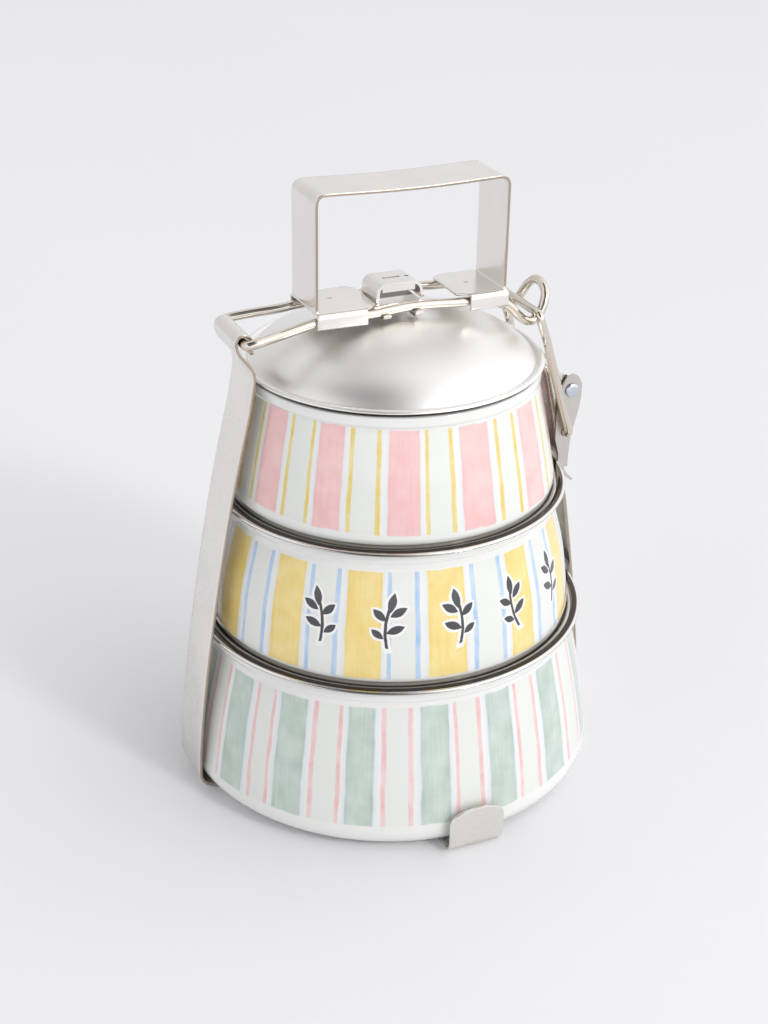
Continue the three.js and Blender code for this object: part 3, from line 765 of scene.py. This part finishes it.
lower = turned("bright_lower_lid", flat_lid("lower_lid", 75.2, 77.2, RIMS["bottom_bowl"]))
place(lower, "carrier", lower_lid_finish, "lower_lid")
middle = turned("bright_middle_lid", flat_lid("middle_lid", 66, 66.6, RIMS["middle_bowl"]))
place(middle, "middle_tier", middle_lid_finish, "middle_lid")
place(turned("satin_dome_lid", dome()), "lid", dome_finish, "dome_lid")


# ------------------------------------------------------------------ straps
# The strap's inner face, x and z, up the right side; the left side is its mirror image.
WALL_X = STRAP_TOP[0] - SHEET
SIDE = [(WALL_X, 16), (87.8, 42), (83.6, 73.3), (74.1, 129.2), (62.3, 182)]
side_line = smooth_curve(SIDE, 60)
left_side = side_line[::-1] * (-1, 1)

# The strap's top end curls round the hinge wire.
curl_radius = 2.5
curl = arc((BARREL_X, BARREL_Z), curl_radius, 0, 205, 24)
lead = spread(np.array([(BARREL_X + curl_radius, BARREL_Z - 4.6), curl[0]]), 5)[:-1]
throat = rounded([curl[-1], curl[-1] + (0.6, -2.6), (-61.9, 187.6), left_side[4]], (1.6, 5.0), 8)
foot = rounded([(-WALL_X, 16), (-WALL_X, SHEET), (WALL_X, SHEET), (WALL_X, 16)], 11, 12)
right_side = side_line[side_line[:, 1] < 173]  # it ends just above the latch bracket
strap_line = np.vstack([lead, curl, throat[1:-1], left_side[4:-1], foot[1:-1], right_side])
strap = strip("bent_carrier_strap", strap_line, -STRAP_HALF, STRAP_HALF, SHEET)
place(strap, "carrier", strap_finish, "carrier_strap")

# The cross strap steps over the carrier strap and ends in two round tabs: for u from 0 to 90
# degrees, a tab is the strap's half width times cos(u)^0.72 at the height 12.5 + 7 sin(u)^0.8.
CROSS_TOP = corners("cross_strap")[1]
CROSS_HALF = CROSS_TOP[0]
TAB_Y = CROSS_TOP[1] - TAB_SHEET
tab_turn = np.linspace(0, math.pi / 2, 16)
tab_rise = 12.5 + 7 * np.sin(tab_turn) ** 0.8
tab_half = np.maximum(CROSS_HALF * np.cos(tab_turn) ** 0.72, 0.05)
under = rounded(
    [(-TAB_Y, 12.5), (-TAB_Y, TAB_SHEET), (-17.5, TAB_SHEET), (-13.7, 2.8), (13.7, 2.8),
     (17.5, TAB_SHEET), (TAB_Y, TAB_SHEET), (TAB_Y, 12.5)], (4.2, 1, 1, 1, 1, 4.2), 8
)
front_tab = np.stack([0 * tab_rise - TAB_Y, tab_rise], -1)[::-1]
cross_line = np.vstack([front_tab[:-1], under, (front_tab * (-1, 1))[::-1][1:]])
cross_half = np.concatenate([tab_half[::-1][:-1], CROSS_HALF + 0 * under[:, 0], tab_half[1:]])
cross = strip("bent_cross_strap", cross_line, -cross_half, cross_half, TAB_SHEET, plane="YZ")
place(cross, "carrier", base_finish, "cross_strap")


# ------------------------------------------------------------------ handle
HANDLE_LOW, HANDLE_TOP = corners("handle")
GRIP_LEFT, GRIP_RIGHT, FOOT_Z, FOOT_Y = HANDLE_LOW[0], HANDLE_TOP[0], HANDLE_LOW[2], HANDLE_TOP[1]


def handle_foot(name, outer, inner):
    """The channel at the foot of the handle: a cap over both rails whose inner corners are
    cut off, so its inner end moves outwards over the last 4 mm on each side."""
    top = FOOT_Z + 6.6
    line = rounded([(-FOOT_Y, FOOT_Z), (-FOOT_Y, top), (FOOT_Y, top), (FOOT_Y, FOOT_Z)], 2.4, 10)
    line = np.vstack([spread(line[:2], 6), spread(line[1:-1], 70)[1:], spread(line[-2:], 6)[1:]])
    cut = np.clip((np.abs(line[:, 0]) - 10.6) / 3.6, 0, 1) * 5 * np.sign(outer - inner)
    ends = np.stack([0 * cut + outer, inner + cut])
    return strip(name, line, ends.min(0), ends.max(0), TAB_SHEET, plane="YZ")


SOLE_Z = 207.4  # level of the loop's two ends, which lie inside the feet
GRIP_Z = 255.4  # level of the loop's upper corners, before they are rounded
grip_line = rounded(
    [(-16, SOLE_Z), (GRIP_LEFT, SOLE_Z), (GRIP_LEFT, GRIP_Z), (3.1, 254), (GRIP_RIGHT, GRIP_Z),
     (GRIP_RIGHT, SOLE_Z), (26, SOLE_Z)], (2.2, 5, 20, 5, 2.2), 12
)
loop = strip("handle_loop", spread(grip_line, 260), -STRAP_HALF, STRAP_HALF, SHEET)
feet = [handle_foot("left_foot", GRIP_LEFT, -12), handle_foot("right_foot", GRIP_RIGHT, 22.5)]
place(joined("bent_handle", [loop, *feet]), "top_frame", handle_finish, "handle")

# ------------------------------------------------------------------ wires
# Points on the middle of each wire, x, y and z, from one end of its back half to the other: the
# frame's from the hinge barrel along a rail to the finger loop, the bail's from its crossbar
# down to the lever.
FRAME_HALF = [
    (BARREL_X, 0.2, BARREL_Z), (BARREL_X, 6.5, BARREL_Z), (BARREL_X, 12.6, BARREL_Z), (-66.9, 15, 200.3),
    (-64.4, 15.7, 200.9), (-54, 14.3, 202.3), (-44, 12.2, 203.4), (-36, 11.5, 204.5),
    (-24, 11.5, 204.9), (-12, 11.5, 205.2), (-4, 11.5, 205.9), (3, 11.5, 206.2),
    (12, 11.5, 205.9), (22, 11.5, 205.1), (36, 11.5, 204.3), (43, 11.5, 202.9),
    (48, 11.2, 199.5), (51.6, 10.9, 195.6), (55, 10.6, 193), (58.6, 10.3, 192.5),
    (61.6, 9.8, 194.4), (63.9, 9, 198.2), (65.5, 7.2, 202), (66.2, 3.9, 204.6), (66.3, 0, 205.4),
]
BAIL_HALF = [
    (58, 0, 197.2), (58, 8, 197.2), (58, 14.6, 197.2), (58.2, 16.6, 196.4), (58.8, 17.2, 193.8),
    (60.5, 17.2, 189.2), (62.1, 17.2, 184.8), (63.7, 17.2, 179.4), (68.2, 17.2, 165),
    (72.2, 17.2, 152), (74.5, 17.2, 145.4), (75.5, 16.9, 142.4), (BAIL_X, 15.6, BAIL_Z + 0.1),
    (BAIL_X, 13, BAIL_Z),
]


def mirrored(half):
    """A half path and its mirror image in Y, joined at the shared last point."""
    half = np.array(half)
    return np.vstack([half * (1, -1, 1), half[::-1][1:]])


FRAME_WIRE = 1.9  # radius
BAIL_WIRE = 1.8
frame_path = smooth_curve(mirrored(FRAME_HALF), 640)
place(tube("bent_frame_wire", frame_path, FRAME_WIRE), "top_frame", wire_finish, "wire_frame")
bail_path = smooth_curve(mirrored(BAIL_HALF[::-1]), 420)
place(tube("bent_latch_bail", bail_path, BAIL_WIRE), "latch_bail", wire_finish, "bail")

# ------------------------------------------------------------------ rivet
RIVET_END = corners("lever_rivet")[1][1]
RIVET_HEAD = 3.1  # radius
RIVET_PIN = 1.75
HEAD_BACK = 14.2  # distance of the head's inner face from the middle
half_rivet = rounded(
    [(0, RIVET_END), (2.2, RIVET_END - 0.05), (RIVET_HEAD, 14.5), (RIVET_HEAD, HEAD_BACK),
     (RIVET_PIN, HEAD_BACK), (RIVET_PIN, 0)], (0.8, 0.5, 0.1, 0.1), 6
)
rivet = turned("domed_rivet", np.vstack([half_rivet, (half_rivet * (1, -1))[::-1][1:]]), 64)

# The rivet is turned about Z, then laid along Y: (x, y, z) goes to (x + X, z, Z - y).
spots = np.empty(len(rivet.data.vertices) * 3)
rivet.data.vertices.foreach_get("co", spots)
across, depth, along = spots.reshape(-1, 3).T
spots = np.stack([across + RIVET_X * MM, along, RIVET_Z * MM - depth], -1)
rivet.data.vertices.foreach_set("co", spots.ravel())
place(rivet, "carrier", rivet_finish, "lever_rivet")

# ------------------------------------------------------------------ pieces that keep their mesh
# For each: its finish, and how far its edges are softened.
KEPT = {
    "latch_bracket": (strap_finish, 0.25),
    "latch_lever": (latch_finish, 0.35),
    "clip_bridge": (clip_finish, 0.3),
    "press_plate": (plate_finish, 0.25),
}
for node, (finish, softness) in KEPT.items():
    piece = bpy.data.objects[node]
    piece.data.materials.clear()
    piece.data.materials.append(finish.material)
    weld = piece.modifiers.new("Weld", "WELD")
    weld.merge_threshold = 2e-5
    soft = piece.modifiers.new("Bevel", "BEVEL")
    soft.width = softness * MM
    soft.segments = 3
    soft.limit_method = "ANGLE"
    soft.angle_limit = math.radians(28)

# ------------------------------------------------------------------ floor, light and camera
FLOOR_HALF = 2500
edges = np.array([-FLOOR_HALF, FLOOR_HALF], float)
level = np.stack([*np.meshgrid(edges, edges), np.zeros((2, 2))], -1)
ground = grid_mesh("studio_floor", level, closed=False)
paper = Finish("pale_paper", roughness=0.95)
paper.feed("Base Color", paper.mix(paper.noise(0.002), rgb(240, 240, 242), rgb(243, 243, 245)))
ground.data.materials.append(paper.material)

world = bpy.data.worlds.new("soft_room")
world.use_nodes = True
sky = world.node_tree.nodes["Background"]
way = world.node_tree.nodes.new("ShaderNodeTexCoord").outputs["Generated"]
parts = world.node_tree.nodes.new("ShaderNodeSeparateXYZ")
world.node_tree.links.new(way, parts.inputs[0])
to_right, to_back, to_top = (Value(world.node_tree, out) for out in parts.outputs)

# The room is brighter to the front and right, with a dark patch of ceiling and a dark one behind
# the lens, which the polished steel mirrors. Each patch is a disc about its own direction.
behind_lens = to_right * -0.318 + to_back * -0.697 + to_top * 0.643
ceiling = to_right * -0.26 + to_back * -0.12 + to_top * 0.958
glow = 1.19 + to_right * 0.16 - to_back * 0.42
glow = glow * (1 - ceiling.band(0.87, 0.975) * 0.92) * (1 - behind_lens.band(0.84, 0.94) * 0.85)
world.node_tree.links.new(glow.socket, sky.inputs["Strength"])
sky.inputs["Color"].default_value = (*rgb(253, 253, 255), 1)
bpy.context.scene.world = world


def aim(piece, target):
    """Turns a light or camera, which look along their own -Z, towards a point."""
    way = Vector(target) - piece.location
    piece.rotation_euler = way.to_track_quat("-Z", "Y").to_euler()


# A square soft box in front on the right.
lamp = bpy.data.lights.new("key_right", "AREA")
lamp.shape = "SQUARE"
lamp.size = 0.46
lamp.energy = 20
lamp.color = (1.0, 0.99, 0.975)
key = bpy.data.objects.new("key_right", lamp)
bpy.context.collection.objects.link(key)
key.location = (1.1, -2.36, 1.6)
aim(key, (0, 0, 0.1))

lens = bpy.data.cameras.new("camera")
lens.lens = 59.03
lens.sensor_width = 36
camera = bpy.data.objects.new("camera", lens)
bpy.context.collection.objects.link(camera)
camera.location = (-0.26419, -0.58013, 0.43013)
aim(camera, (-0.00187, 0.00084, 0.1105))
camera.rotation_euler.rotate_axis("Z", math.radians(0.99))
bpy.context.scene.camera = camera
bpy.context.scene.view_settings.view_transform = "Standard"
